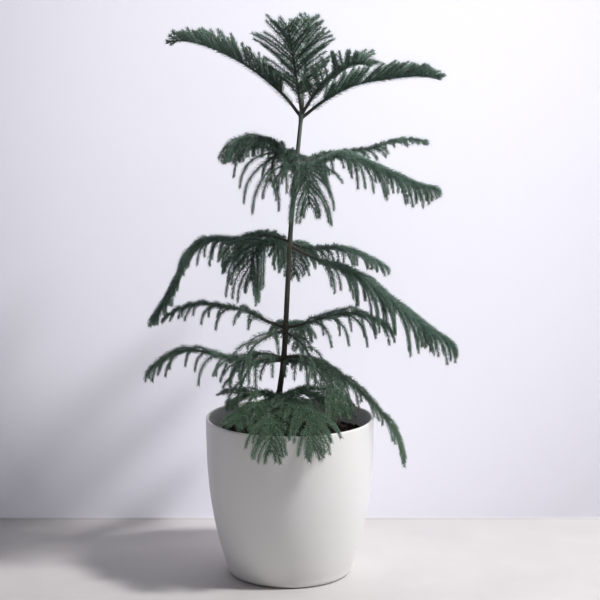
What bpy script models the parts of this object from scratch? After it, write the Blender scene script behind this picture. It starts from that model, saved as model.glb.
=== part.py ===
"""Potted Norfolk Island pine: a young plant with six tiers of fronds in a plain tapered pot.

Lengths are millimetres in the named values and metres in the scene. The pot stands on z = 0 with its
axis on the z axis, and the viewer's side is -y.
"""
import math

import bmesh
import bpy
import numpy as np
from mathutils import Vector

MM = 0.001
PLANT = "potted_norfolk_island_pine"
GAP = 0.3                     # clearance between pieces that touch on the real plant
WELD = 0.01                   # points closer than this are one point
CURVE_STEPS = 8               # steps of a smooth curve between two of its given points

# Pot: a thin moulded shell whose side follows rim - flare * (1 - z / height) ** curve
POT_HEIGHT = 190.0
POT_RIM_RADIUS = 100.0
POT_FLARE = 27.5
POT_CURVE = 2.6
POT_WALL = 3.5
POT_FLOOR = 5.0
POT_FOOT_ROUNDING = 7.0
POT_STEPS = 36
POT_SIDE_LEVELS = [25, 55, 95, 142]
POT_HIDDEN_LEVELS = [60, 142]  # inside the pot and on the soil's side

# Soil: fills the pot up to a crumbly surface below the rim
SOIL_LEVEL = 165.0
SOIL_CRUMB = 2.2
SOIL_RINGS = 4

# Trunk: (height above the floor, sideways offset) along its centreline, which leans and bends
TRUNK_PATH = [(142, -19), (209, -13.5), (262, -7), (338, -2.8), (403, 0.5), (473, 6.4),
              (546, 13.5), (574, 15.5)]
TRUNK_FOOT_RADIUS = 3.6
TRUNK_TOP_RADIUS = 2.3
TRUNK_KNUCKLE = 0.9           # how much thicker the trunk is where a tier of fronds leaves it
TRUNK_KNUCKLE_LENGTH = 5.0
TRUNK_TIP_LENGTH = 14.0       # end of the trunk that narrows to its tip
TRUNK_TIP_BLUNT = 4.0
TRUNK_POINTS = 28
TIERS = [216, 260, 296, 398, 484, 548]

# Fronds: name, height of the root on the trunk, azimuth (0 faces the viewer, 90 is right), longest
# branchlet, pairs of branchlets, hang towards the ground, lift at the start, and the midrib as
# (reach from the trunk, rise above the root)
FRONDS = [
    ("crown_left", 546, 268, 36, 4, 0.0, 0.55, [(24, 29), (64, 60), (107, 81), (138, 88), (150, 83)]),
    ("crown_front", 552, 336, 55, 3, 0.25, 0.2, [(12, 32), (24, 64), (33, 86), (38, 98)]),
    ("crown_front_right", 548, 45, 36, 3, 0.0, 0.35, [(18, 21), (37, 38), (65, 55), (90, 62), (109, 60)]),
    ("crown_right", 544, 96, 36, 4, 0.0, 0.5, [(29, 22), (63, 39), (103, 46), (140, 49), (163, 45)]),
    ("crown_back", 554, 166, 36, 3, 0.25, 0.2, [(14, 36), (26, 68), (34, 90), (46, 104)]),
    ("upper_left", 489, 286, 54, 3, 0.85, 0.2, [(14, 16), (33, 29), (54, 32), (71, 27), (82, 17)]),
    ("upper_left_front", 483, 326, 80, 3, 1.0, 0.1, [(16, 14), (32, 24), (46, 16), (52, -6)]),
    ("upper_left_back", 483, 228, 46, 3, 0.8, 0.2, [(25, 16), (55, 28), (80, 24), (92, 12)]),
    ("upper_back", 482, 172, 46, 3, 0.7, 0.2, [(30, 8), (65, 8), (100, -6), (125, -32)]),
    ("upper_right_back", 488, 118, 26, 4, 0.7, 0.1, [(33, 13), (66, 15), (100, 18), (142, 27), (179, 23)]),
    ("upper_right", 481, 76, 56, 4, 0.9, 0.2,
     [(24, 10), (50, 21), (82, 13), (114, 1), (142, -10), (166, -14)]),
    ("upper_front", 479, 14, 60, 3, 0.95, 0.2, [(20, 9), (40, 9), (58, -8), (64, -28)]),
    ("middle_left", 397, 272, 56, 5, 0.95, 0.2,
     [(33, 0), (66, 5), (93, 5), (114, -10), (132, -41), (149, -70), (163, -89)]),
    ("middle_left_back", 400, 228, 60, 3, 0.9, 0.2, [(21, 3), (49, 5), (74, -6), (92, -30)]),
    ("middle_back", 396, 178, 46, 3, 0.8, 0.2, [(35, -4), (75, -10), (115, -28), (142, -58)]),
    ("middle_right_back", 400, 124, 46, 3, 0.9, 0.2,
     [(23, -10), (50, -11), (78, -14), (108, -26), (138, -40)]),
    ("middle_right", 395, 82, 80, 5, 0.95, 0.2,
     [(25, -12), (50, -21), (75, -32), (103, -50), (130, -71), (158, -91), (191, -111)]),
    ("middle_front", 396, 318, 68, 3, 1.0, 0.1, [(20, 4), (44, 8), (62, -6), (66, -32)]),
    ("lower_left", 297, 265, 46, 4, 0.85, 0.2, [(24, 9), (48, 21), (72, 24), (95, 28), (120, 24), (142, 13)]),
    ("lower_left_front", 294, 316, 50, 2, 0.85, 0.2, [(24, -2), (48, -9), (66, -25), (74, -46)]),
    ("lower_right", 298, 96, 74, 4, 0.85, 0.2, [(16, 2), (40, 9), (70, 15), (96, 11), (116, 3)]),
    ("lower_right_front", 292, 36, 38, 2, 0.85, 0.2, [(23, -4), (42, -14), (55, -32), (62, -50)]),
    ("lower_back", 295, 174, 44, 3, 0.8, 0.2, [(35, -2), (75, -6), (115, -22), (138, -48)]),
    ("base_left", 258, 276, 66, 4, 0.9, 0.2, [(40, 0), (72, 6), (104, 14), (130, 11), (156, -6)]),
    ("base_left_back", 261, 222, 42, 2, 0.85, 0.2, [(30, 0), (62, -6), (90, -24), (104, -46)]),
    ("base_left_front", 260, 316, 50, 2, 0.95, 0.2, [(27, 5), (50, 2), (66, -14), (78, -40)]),
    ("base_right", 262, 90, 62, 5, 0.95, 0.2,
     [(24, 0), (50, -11), (75, -28), (102, -53), (125, -78), (138, -104), (141, -119)]),
    ("base_right_back", 259, 146, 44, 3, 0.85, 0.2, [(35, -4), (68, -15), (98, -38), (114, -62)]),
    ("base_right_front", 257, 48, 56, 2, 1.0, 0.2, [(28, 3), (54, -4), (74, -23), (82, -46)]),
    ("foot_left", 216, 282, 46, 2, 0.45, 0.3, [(20, 2), (38, 0), (54, -6)]),
    ("foot_left_front", 217, 330, 42, 2, 0.7, 0.3, [(24, 0), (50, -4), (76, -8), (96, -14)]),
    ("foot_front", 212, 356, 52, 3, 0.85, 0.2, [(32, 0), (66, -4), (96, -9), (112, -24), (116, -36)]),
    ("foot_front_right", 218, 20, 52, 3, 0.85, 0.2, [(32, 2), (66, -3), (98, -11), (114, -27), (119, -41)]),
    ("foot_right", 215, 70, 46, 2, 0.5, 0.3, [(30, 6), (58, 0), (84, -14)]),
]
RIB_POINTS = 25
FIRST_BRANCHLET = 0.2         # share of the midrib that is bare
LAST_BRANCHLET = 0.97
SHORTEST = 0.25               # of the longest branchlet, at either end of the midrib
BRANCHLET_PEAK = 0.9          # below 1 it moves the longest branchlet towards the tip
BRANCHLET_ANGLES = (54, 34)   # degrees from the midrib, near the trunk and at the tip
BRANCHLET_POINTS = 9
HANG_CURVE = 1.1
STRAIGHT = 0.05               # a centreline that turns less than this has no plane of its own
UNEVEN = (6.0, 0.1, 0.08)     # random part of a branchlet's angle, length and hang
SEED = 41

# Room that a branchlet needs round it; one without room is bent or shortened by these steps
ROOM = 9.6
ROOT_REACH = 15.0
TRIALS = [(1.0, 1.0), (1.0, 0.8), (0.7, 1.0), (0.6, 0.75), (1.0, 0.6), (0.3, 0.7), (0.1, 0.5)]

# Shoots: a slim three-sided core with a forward-pointing needle on each face
RIB_RADII = (1.8, 0.7)
TWIG_RADII = (0.75, 0.5)
RIB_SPACING = 22.0
TWIG_SPACING = 13.5
NEEDLE_OUT = 3.8
NEEDLE_FORWARD = 4.6
NEEDLE_ROOM = 2.0             # beyond the needles, to the pot and the soil
NEEDLE_TAPER = 0.45           # how much closer the needles lie at a shoot's tip
RIB_BARE = 0.42               # share of the midrib without needles
TIP_LENGTH = 6.0

WHITE_PLASTIC = ((0.80, 0.80, 0.79), 0.28)
POTTING_SOIL = ((0.045, 0.032, 0.024), 0.95)
BARK = ((0.16, 0.13, 0.10), 0.80)
NEEDLE_GREEN = ((0.045, 0.085, 0.062), 0.55)


def clear_scene():
    for item in list(bpy.data.objects):
        bpy.data.objects.remove(item, do_unlink=True)


def collection(name, hidden=False):
    group = bpy.data.collections.new(name)
    bpy.context.scene.collection.children.link(group)
    group.hide_render = hidden
    return group


def paint(item, look):
    colour, roughness = look
    material = bpy.data.materials.new(item.name)
    material.use_nodes = True
    shader = material.node_tree.nodes["Principled BSDF"]
    shader.inputs["Base Color"].default_value = (*colour, 1.0)
    shader.inputs["Roughness"].default_value = roughness
    shader.inputs["Metallic"].default_value = 0.0
    material.diffuse_color = (*colour, 1.0)
    item.data.materials.clear()
    item.data.materials.append(material)


def mesh_object(name, vertices, faces, group, hidden=False):
    mesh = bpy.data.meshes.new(name)
    mesh.from_pydata([tuple(v) for v in vertices], [], [tuple(f) for f in faces])
    item = bpy.data.objects.new(name, mesh)
    group.objects.link(item)
    if hidden:
        item.display_type = "WIRE"
        item.hide_render = True
    return item


def unit(vectors):
    return vectors / np.linalg.norm(vectors, axis=-1, keepdims=True)


def trunk_at(height):
    """Centre of the trunk at a height above the floor."""
    z, x = np.array(TRUNK_PATH, float).T
    return np.array([np.interp(height, z, x), 0.0, height])


def pot_radius(height):
    """Outer radius of the pot's side at a height above the floor."""
    return POT_RIM_RADIUS - POT_FLARE * (1 - height / POT_HEIGHT) ** POT_CURVE


def arc(centre, radius, start, end, count):
    """Profile points (radius, height) along an arc, angles in degrees."""
    angles = np.radians(np.linspace(start, end, count))
    return [(centre[0] + radius * math.cos(a), centre[1] + radius * math.sin(a)) for a in angles]


def turned(name, profile, group, steps):
    """Solid of revolution about z from (radius, height) points in mm."""
    vertices = [(r * MM, 0.0, z * MM) for r, z in profile]
    mesh = bpy.data.meshes.new(name)
    mesh.from_pydata(vertices, [(k, k + 1) for k in range(len(vertices) - 1)], [])
    item = bpy.data.objects.new(name, mesh)
    group.objects.link(item)
    screw = item.modifiers.new("turn", "SCREW")
    screw.steps = steps
    screw.render_steps = steps
    screw.use_merge_vertices = True
    screw.merge_threshold = WELD * MM
    screw.use_normal_calculate = True
    return item


def make_pot(group):
    foot = POT_FOOT_ROUNDING
    lip = POT_WALL / 2
    inner_foot = foot + POT_FLOOR
    foot_centre = (pot_radius(foot) - foot, foot)
    profile = [(0.0, 0.0)]
    profile += arc(foot_centre, foot, -90, 0, 4)
    profile += [(pot_radius(z), z) for z in POT_SIDE_LEVELS]
    profile += arc((POT_RIM_RADIUS - lip, POT_HEIGHT - lip), lip, 0, 180, 5)
    profile += [(pot_radius(z) - POT_WALL, z) for z in reversed(POT_HIDDEN_LEVELS)]
    profile += arc((pot_radius(inner_foot) - POT_WALL - foot, inner_foot), foot, 0, -90, 3)
    profile += [(0.0, POT_FLOOR)]
    pot = turned("pot", profile, group, POT_STEPS)
    paint(pot, WHITE_PLASTIC)
    return pot


def soil_lumps(x, y):
    """Relief of the soil's top at (x, y) in mm: two crossed waves and a slanting one."""
    return math.sin(0.31 * x + 1.3) * math.cos(0.27 * y) + 0.7 * math.sin(0.17 * x - 0.43 * y)


def make_soil(group, trunk_cutter):
    """Soil body with a crumbly top and a plain hole for the trunk."""
    wall = POT_WALL + GAP
    bottom = POT_FLOOR + GAP
    inner_foot = POT_FOOT_ROUNDING + POT_FLOOR
    corner = pot_radius(inner_foot) - wall - POT_FOOT_ROUNDING
    profile = [(0.0, bottom), (corner, bottom)]
    profile += [(pot_radius(inner_foot) - wall, inner_foot + GAP)]
    profile += [(pot_radius(z) - wall - GAP, z) for z in POT_HIDDEN_LEVELS]
    edge = pot_radius(SOIL_LEVEL) - wall - GAP
    profile += [(edge * k / SOIL_RINGS, SOIL_LEVEL) for k in range(SOIL_RINGS, -1, -1)]
    soil = turned("soil", profile, group, POT_STEPS)
    mesh = bpy.data.meshes.new_from_object(soil.evaluated_get(bpy.context.evaluated_depsgraph_get()))
    soil.modifiers.clear()
    soil.data = mesh
    mesh.name = "soil"
    for vertex in mesh.vertices:
        x, y, z = vertex.co / MM
        if z > SOIL_LEVEL - 1:
            vertex.co.z += SOIL_CRUMB * soil_lumps(x, y) * MM
    cut = soil.modifiers.new("trunk hole", "BOOLEAN")
    cut.operation = "DIFFERENCE"
    cut.solver = "EXACT"
    cut.object = trunk_cutter
    paint(soil, POTTING_SOIL)
    return soil


def trunk_tube(name, extra, group, hidden=False):
    """The trunk as a mesh made from a bevelled curve, thicker by extra all round."""
    curve = bpy.data.curves.new(name, "CURVE")
    curve.dimensions = "3D"
    curve.bevel_depth = MM
    curve.bevel_resolution = 2
    curve.use_fill_caps = True
    spline = curve.splines.new("POLY")
    heights = np.linspace(TRUNK_PATH[0][0] - extra, TRUNK_PATH[-1][0] + extra, TRUNK_POINTS)
    spline.points.add(len(heights) - 1)
    line = smooth(np.array([trunk_at(z) for z, _ in TRUNK_PATH]), 4 * TRUNK_POINTS)
    for point, z in zip(spline.points, heights):
        x = np.interp(z, line[:, 2], line[:, 0])
        share = (z - heights[0]) / (heights[-1] - heights[0])
        bulge = sum(math.exp(-((z - tier) / TRUNK_KNUCKLE_LENGTH) ** 2) for tier in TIERS)
        taper = min(1.0, (heights[-1] - z + TRUNK_TIP_BLUNT) / TRUNK_TIP_LENGTH)
        radius = TRUNK_FOOT_RADIUS + (TRUNK_TOP_RADIUS - TRUNK_FOOT_RADIUS) * share
        point.co = (x * MM, 0.0, z * MM, 1.0)
        point.radius = radius * taper + TRUNK_KNUCKLE * bulge + extra
    draft = bpy.data.objects.new(name + "_curve", curve)
    group.objects.link(draft)
    evaluated = draft.evaluated_get(bpy.context.evaluated_depsgraph_get())
    mesh = bpy.data.meshes.new_from_object(evaluated)
    bpy.data.objects.remove(draft, do_unlink=True)
    shell = bmesh.new()
    shell.from_mesh(mesh)
    bmesh.ops.remove_doubles(shell, verts=shell.verts, dist=WELD * MM)
    bmesh.ops.recalc_face_normals(shell, faces=shell.faces)
    shell.to_mesh(mesh)
    shell.free()
    mesh.name = name
    item = bpy.data.objects.new(name, mesh)
    group.objects.link(item)
    if hidden:
        item.display_type = "WIRE"
        item.hide_render = True
    return item


def smooth(points, count):
    """Points evenly spaced along the Catmull-Rom curve through the given ones."""
    p = np.vstack([2 * points[0] - points[1], points, 2 * points[-1] - points[-2]])
    t = np.linspace(0, 1, CURVE_STEPS, endpoint=False)[:, None]
    rows = [0.5 * (2 * b + (c - a) * t + (2 * a - 5 * b + 4 * c - d) * t ** 2
                   + (3 * b - a - 3 * c + d) * t ** 3)
            for a, b, c, d in zip(p, p[1:], p[2:], p[3:])]
    fine = np.vstack(rows + [points[-1:]])
    along = np.r_[0, np.cumsum(np.linalg.norm(np.diff(fine, axis=0), axis=1))]
    at = np.linspace(0, along[-1], count)
    return np.stack([np.interp(at, along, fine[:, k]) for k in range(3)], axis=1)


def midrib(height, azimuth, profile):
    """Centreline of a frond's rib from the trunk's centre to the tip."""
    a = math.radians(azimuth)
    reach, rise = np.array([(0, 0)] + profile, float).T
    flat = np.stack([reach * math.sin(a), -reach * math.cos(a), rise], axis=1)
    return smooth(trunk_at(height) + flat, RIB_POINTS)


def branchlet(line, along, side, spread, hang, lift, turn):
    """Centreline of one branchlet: it leaves the rib sideways and forward, then bends to the ground."""
    place = along * (len(line) - 1)
    k = min(int(place), len(line) - 2)
    root = line[k] + (line[k + 1] - line[k]) * (place - k)
    forward = unit(line[k + 1] - line[k])
    lateral = unit(np.cross(forward, [0.0, 0.0, 1.0]))
    up = np.cross(lateral, forward)
    near, far = BRANCHLET_ANGLES
    angle = math.radians(near + (far - near) * along + turn)
    start = unit(math.cos(angle) * forward + side * math.sin(angle) * lateral + lift * up)
    longest = math.sin(math.pi * along ** BRANCHLET_PEAK)
    length = spread * (SHORTEST + (1 - SHORTEST) * longest)
    t = (np.arange(BRANCHLET_POINTS - 1) + 0.5)[:, None] / (BRANCHLET_POINTS - 1)
    weight = min(hang, 1.0) * t ** HANG_CURVE
    steps = unit((1 - weight) * start + weight * np.array([0.0, 0.0, -1.0]))
    return np.vstack([root, root + np.cumsum(steps * length / (BRANCHLET_POINTS - 1), axis=0)])


def has_room(points, others):
    """True where points keep clear of the other fronds, the trunk, the soil and the pot."""
    if len(others) and np.min(np.linalg.norm(points[:, None] - others[None], axis=2)) < ROOM:
        return False
    z = points[:, 2]
    trunk = np.array([trunk_at(h) for h in z])
    away = np.linalg.norm(points - trunk, axis=1)
    if np.min(away[z < TRUNK_PATH[-1][0]], initial=math.inf) < ROOM:
        return False
    radius = np.hypot(points[:, 0], points[:, 1])
    needle = NEEDLE_OUT + NEEDLE_ROOM
    within = radius < pot_radius(SOIL_LEVEL) - POT_WALL - needle
    inside = within & (z > SOIL_LEVEL + needle + SOIL_CRUMB)
    return bool(np.all(inside | (radius > POT_RIM_RADIUS + needle) | (z > POT_HEIGHT + needle)))


def lay_out():
    """Rib and branchlet centrelines of every frond, with no frond running into another."""
    random = np.random.default_rng(SEED)
    ribs = [midrib(height, azimuth, profile) for _, height, azimuth, *_, profile in FRONDS]
    taken = [rib[np.linalg.norm(rib - rib[0], axis=1) > ROOT_REACH] for rib in ribs]
    reach = LAST_BRANCHLET - FIRST_BRANCHLET
    fronds = []
    for number, (name, _, _, spread, pairs, hang, lift, _) in enumerate(FRONDS):
        chance = random.uniform(-1, 1, (pairs, 2, 3)) * UNEVEN
        others = np.vstack([points for k, points in enumerate(taken) if k != number])
        twigs = []
        for pair, side in ((p, s) for p in range(pairs) for s in (-1, 1)):
            along = FIRST_BRANCHLET + reach * (pair + (side > 0) / 2) / (pairs - 0.5)
            turn, longer, lower = chance[pair, (side + 1) // 2]
            for bend, shorter in TRIALS:
                twig = branchlet(ribs[number], along, side, spread * shorter * (1 + longer),
                                 (hang + lower * (hang > 0)) * bend, lift, turn)
                if has_room(twig[2:], others):
                    twigs.append(twig)
                    break
        taken[number] = np.vstack([taken[number]] + twigs)
        fronds.append((name, ribs[number], twigs))
    return fronds


def plane_normal(line):
    """Unit normal of the plane that a centreline bends in; level for a straight one."""
    start, end = unit(line[1] - line[0]), unit(line[-1] - line[-2])
    normal = np.cross(start, end)
    if np.linalg.norm(normal) < STRAIGHT:
        normal = np.cross(start, [0.0, 0.0, 1.0])
    return unit(normal)


def ring_centres(line, spacing):
    """Evenly spaced points along a centreline, for the rings of a shoot, with a short last step."""
    length = np.sum(np.linalg.norm(np.diff(line, axis=0), axis=1))
    centres = smooth(line, max(3, round((length - TIP_LENGTH) / spacing) + 2))
    last = centres[-1] - centres[-2]
    centres[-2] += last * max(0.0, 1 - TIP_LENGTH / np.linalg.norm(last))
    return centres


def nearest_on(line, point):
    """Point of a polyline nearest to a point."""
    start, step = line[:-1], np.diff(line, axis=0)
    share = np.clip(np.sum((point - start) * step, axis=1) / np.sum(step ** 2, axis=1), 0, 1)
    feet = start + share[:, None] * step
    return feet[np.argmin(np.linalg.norm(feet - point, axis=1))]


def shoot(centres, radii, bare=0.0):
    """Vertices and faces of a closed shoot: a three-sided core, each ring turned 60 degrees from the
    last, with a needle raised on every second face beyond the bare part."""
    rings = len(centres) - 1
    forward = unit(np.gradient(centres, axis=0))
    lateral = plane_normal(centres)
    up = np.cross(forward, lateral)
    radius = np.linspace(*radii, rings)[:, None, None]
    angle = np.radians(120 * np.arange(3)[None] + 60 * np.arange(rings)[:, None])[..., None]
    spokes = np.cos(angle) * lateral + np.sin(angle) * up[:-1, None]
    vertices = list((centres[:-1, None] + radius * spokes).reshape(-1, 3)) + [centres[-1]]
    faces = [(2, 1, 0)]
    for ring in range(rings - 1):
        for j in range(3):
            low, low_next = 3 * ring + j, 3 * ring + (j + 1) % 3
            high, high_before = 3 * ring + 3 + j, 3 * ring + 3 + (j - 1) % 3
            faces.append((low, low_next, high))
            if (ring + 0.5) / rings < bare:
                faces.append((low, high, high_before))
                continue
            middle = (vertices[low] + vertices[high] + vertices[high_before]) / 3
            outward = unit(middle - (centres[ring] + 2 * centres[ring + 1]) / 3)
            onward = unit(centres[ring + 1] - centres[ring])
            needle = len(vertices)
            reach = NEEDLE_OUT * (1 - NEEDLE_TAPER * ring / rings)
            vertices.append(middle + reach * outward + NEEDLE_FORWARD * onward)
            faces += [(low, high, needle), (high, high_before, needle), (high_before, low, needle)]
    last = 3 * (rings - 1)
    faces += [(last + j, last + (j + 1) % 3, 3 * rings) for j in range(3)]
    return np.array(vertices), faces


def make_frond(name, rib, twigs, parts, cutters, trunk_cutter):
    """One frond: the rib with its branchlets joined on, its root cut to seat on the trunk."""
    root = rib[0]
    core = ring_centres(rib, RIB_SPACING)
    vertices, faces = shoot(core, RIB_RADII, RIB_BARE)
    frond = mesh_object("frond_" + name, (vertices - root) * MM, faces, parts)
    frond.location = Vector(root) * MM
    pieces = bpy.data.collections.new("branchlets_" + name)
    cutters.children.link(pieces)
    for number, twig in enumerate(twigs):
        rooted = np.vstack([nearest_on(core, twig[0]), twig[1:]])
        vertices, faces = shoot(ring_centres(rooted, TWIG_SPACING), TWIG_RADII)
        piece = mesh_object(f"branchlet_{name}_{number}", (vertices - root) * MM, faces, pieces, hidden=True)
        piece.location = frond.location
    join = frond.modifiers.new("branchlets", "BOOLEAN")
    join.operation = "UNION"
    join.solver = "EXACT"
    join.operand_type = "COLLECTION"
    join.collection = pieces
    seat = frond.modifiers.new("seat on the trunk", "BOOLEAN")
    seat.operation = "DIFFERENCE"
    seat.solver = "EXACT"
    seat.object = trunk_cutter
    paint(frond, NEEDLE_GREEN)
    return frond


def main():
    clear_scene()
    parts = collection(PLANT)
    cutters = collection("cutters", hidden=True)
    stand = bpy.data.objects.new(PLANT, None)
    parts.objects.link(stand)
    trunk = trunk_tube("trunk", 0.0, parts)
    paint(trunk, BARK)
    trunk_cutter = trunk_tube("trunk_cutter", GAP, cutters, hidden=True)
    pieces = [make_pot(parts), make_soil(parts, trunk_cutter), trunk]
    for name, rib, twigs in lay_out():
        pieces.append(make_frond(name, rib, twigs, parts, cutters, trunk_cutter))
    for piece in pieces:
        piece.parent = stand


main()
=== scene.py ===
"""Looks of the potted Norfolk Island pine: needles, bark, potting soil and the white moulded pot.

Named lengths are millimetres; meshes are in metres. The pot stands on z = 0 and the viewer's side is -y.
"""

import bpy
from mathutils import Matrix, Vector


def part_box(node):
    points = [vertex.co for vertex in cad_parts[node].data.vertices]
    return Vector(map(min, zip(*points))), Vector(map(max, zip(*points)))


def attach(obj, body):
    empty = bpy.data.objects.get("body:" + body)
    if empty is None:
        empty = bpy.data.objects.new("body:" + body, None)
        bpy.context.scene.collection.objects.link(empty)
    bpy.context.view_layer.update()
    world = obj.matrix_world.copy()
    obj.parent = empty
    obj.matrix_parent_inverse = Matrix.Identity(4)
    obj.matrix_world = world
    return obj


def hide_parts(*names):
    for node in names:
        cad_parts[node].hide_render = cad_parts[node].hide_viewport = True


bl_info = {
    "name": "Potted Norfolk Island Pine",
    "version": (1, 0, 0),
    "blender": (4, 5, 0),
    "location": "View3D > Sidebar > Pine",
    "description": "Dresses the packed pine in its pot with needles, bark, soil and a moulded pot",
    "category": "Add Mesh",
}

import math

import bpy
import numpy as np

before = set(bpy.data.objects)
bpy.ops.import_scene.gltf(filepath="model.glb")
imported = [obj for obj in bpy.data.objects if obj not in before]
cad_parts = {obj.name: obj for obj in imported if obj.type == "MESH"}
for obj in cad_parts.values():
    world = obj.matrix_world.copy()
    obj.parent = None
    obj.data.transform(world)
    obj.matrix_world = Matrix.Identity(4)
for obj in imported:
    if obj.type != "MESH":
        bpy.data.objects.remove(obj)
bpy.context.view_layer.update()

MM = 0.001
POT_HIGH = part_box("pot")[1]

# Pot, as in the part: the side follows rim - flare * (1 - z / height) ** curve
POT_HEIGHT = POT_HIGH[2] / MM
POT_RIM_RADIUS = POT_HIGH[0] / MM
POT_FLARE = 27.5
POT_CURVE = 2.6
POT_WALL = 3.5
POT_FLOOR = 5.0
POT_FOOT_ROUNDING = 7.0
SOIL_LEVEL = 165.0
SOIL_CRUMB = 2.2
GAP = 0.3                     # between pieces that touch

# Rings of the pot's and the soil's outlines
POT_RINGS = {"foot": 10, "side": 34, "lip": 11, "inside": 26, "inner foot": 8}
SOIL_RINGS = {"side": 16, "top": 60}
SOIL_GRAIN = 0.35             # rise of the finer waves between the lumps

# Loose crumbs: gamma shape, scale and least radius; stretch along each axis; dents; how high they sit
CRUMB_RADIUS = (3.0, 0.42, 0.5)
CRUMB_STRETCH = (0.6, 1.3)
CRUMB_DENTS = (0.8, 1.15)
CRUMB_SEAT = 0.2
CRUMB_FROM_WALL = 5
CRUMB_FROM_TRUNK = 3

# Trunk and fronds, as in the part
TRUNK_PATH = [(142, -19), (209, -13.5), (262, -7), (338, -2.8), (403, 0.5), (473, 6.4),
              (546, 13.5), (574, 15.5)]
TRUNK_FOOT_RADIUS = 3.6
TRUNK_TOP_RADIUS = 2.3
TRUNK_KNUCKLE = 0.9
TRUNK_KNUCKLE_LENGTH = 5.0
TRUNK_TIP_LENGTH = 14.0
TRUNK_TIP_BLUNT = 4.0
TRUNK_RINGS = 360
TRUNK_SIDES = 18
LEAF_SCAR = 0.12              # height of the rings that old needles left on the bark
TIERS = [216, 260, 296, 398, 484, 548]

# Name, root height, azimuth, longest branchlet, pairs, hang, lift, and the midrib's reach and rise
FRONDS = [
    ("crown_left", 546, 268, 36, 4, 0.0, 0.55, [(24, 29), (64, 60), (107, 81), (138, 88), (150, 83)]),
    ("crown_front", 552, 336, 55, 3, 0.25, 0.2, [(12, 32), (24, 64), (33, 86), (38, 98)]),
    ("crown_front_right", 548, 45, 36, 3, 0.0, 0.35, [(18, 21), (37, 38), (65, 55), (90, 62), (109, 60)]),
    ("crown_right", 544, 96, 36, 4, 0.0, 0.5, [(29, 22), (63, 39), (103, 46), (140, 49), (163, 45)]),
    ("crown_back", 554, 166, 36, 3, 0.25, 0.2, [(14, 36), (26, 68), (34, 90), (46, 104)]),
    ("upper_left", 489, 286, 54, 3, 0.85, 0.2, [(14, 16), (33, 29), (54, 32), (71, 27), (82, 17)]),
    ("upper_left_front", 483, 326, 80, 3, 1.0, 0.1, [(16, 14), (32, 24), (46, 16), (52, -6)]),
    ("upper_left_back", 483, 228, 46, 3, 0.8, 0.2, [(25, 16), (55, 28), (80, 24), (92, 12)]),
    ("upper_back", 482, 172, 46, 3, 0.7, 0.2, [(30, 8), (65, 8), (100, -6), (125, -32)]),
    ("upper_right_back", 488, 118, 26, 4, 0.7, 0.1, [(33, 13), (66, 15), (100, 18), (142, 27), (179, 23)]),
    ("upper_right", 481, 76, 56, 4, 0.9, 0.2,
     [(24, 10), (50, 21), (82, 13), (114, 1), (142, -10), (166, -14)]),
    ("upper_front", 479, 14, 60, 3, 0.95, 0.2, [(20, 9), (40, 9), (58, -8), (64, -28)]),
    ("middle_left", 397, 272, 56, 5, 0.95, 0.2,
     [(33, 0), (66, 5), (93, 5), (114, -10), (132, -41), (149, -70), (163, -89)]),
    ("middle_left_back", 400, 228, 60, 3, 0.9, 0.2, [(21, 3), (49, 5), (74, -6), (92, -30)]),
    ("middle_back", 396, 178, 46, 3, 0.8, 0.2, [(35, -4), (75, -10), (115, -28), (142, -58)]),
    ("middle_right_back", 400, 124, 46, 3, 0.9, 0.2,
     [(23, -10), (50, -11), (78, -14), (108, -26), (138, -40)]),
    ("middle_right", 395, 82, 80, 5, 0.95, 0.2,
     [(25, -12), (50, -21), (75, -32), (103, -50), (130, -71), (158, -91), (191, -111)]),
    ("middle_front", 396, 318, 68, 3, 1.0, 0.1, [(20, 4), (44, 8), (62, -6), (66, -32)]),
    ("lower_left", 297, 265, 46, 4, 0.85, 0.2, [(24, 9), (48, 21), (72, 24), (95, 28), (120, 24), (142, 13)]),
    ("lower_left_front", 294, 316, 50, 2, 0.85, 0.2, [(24, -2), (48, -9), (66, -25), (74, -46)]),
    ("lower_right", 298, 96, 74, 4, 0.85, 0.2, [(16, 2), (40, 9), (70, 15), (96, 11), (116, 3)]),
    ("lower_right_front", 292, 36, 38, 2, 0.85, 0.2, [(23, -4), (42, -14), (55, -32), (62, -50)]),
    ("lower_back", 295, 174, 44, 3, 0.8, 0.2, [(35, -2), (75, -6), (115, -22), (138, -48)]),
    ("base_left", 258, 276, 66, 4, 0.9, 0.2, [(40, 0), (72, 6), (104, 14), (130, 11), (156, -6)]),
    ("base_left_back", 261, 222, 42, 2, 0.85, 0.2, [(30, 0), (62, -6), (90, -24), (104, -46)]),
    ("base_left_front", 260, 316, 50, 2, 0.95, 0.2, [(27, 5), (50, 2), (66, -14), (78, -40)]),
    ("base_right", 262, 90, 62, 5, 0.95, 0.2,
     [(24, 0), (50, -11), (75, -28), (102, -53), (125, -78), (138, -104), (141, -119)]),
    ("base_right_back", 259, 146, 44, 3, 0.85, 0.2, [(35, -4), (68, -15), (98, -38), (114, -62)]),
    ("base_right_front", 257, 48, 56, 2, 1.0, 0.2, [(28, 3), (54, -4), (74, -23), (82, -46)]),
    ("foot_left", 216, 282, 46, 2, 0.45, 0.3, [(20, 2), (38, 0), (54, -6)]),
    ("foot_left_front", 217, 330, 42, 2, 0.7, 0.3, [(24, 0), (50, -4), (76, -8), (96, -14)]),
    ("foot_front", 212, 356, 52, 3, 0.85, 0.2, [(32, 0), (66, -4), (96, -9), (112, -24), (116, -36)]),
    ("foot_front_right", 218, 20, 52, 3, 0.85, 0.2, [(32, 2), (66, -3), (98, -11), (114, -27), (119, -41)]),
    ("foot_right", 215, 70, 46, 2, 0.5, 0.3, [(30, 6), (58, 0), (84, -14)]),
]
RIB_POINTS = 25
CURVE_STEPS = 8
FIRST_BRANCHLET = 0.2         # share of the midrib that is bare
LAST_BRANCHLET = 0.97
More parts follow.
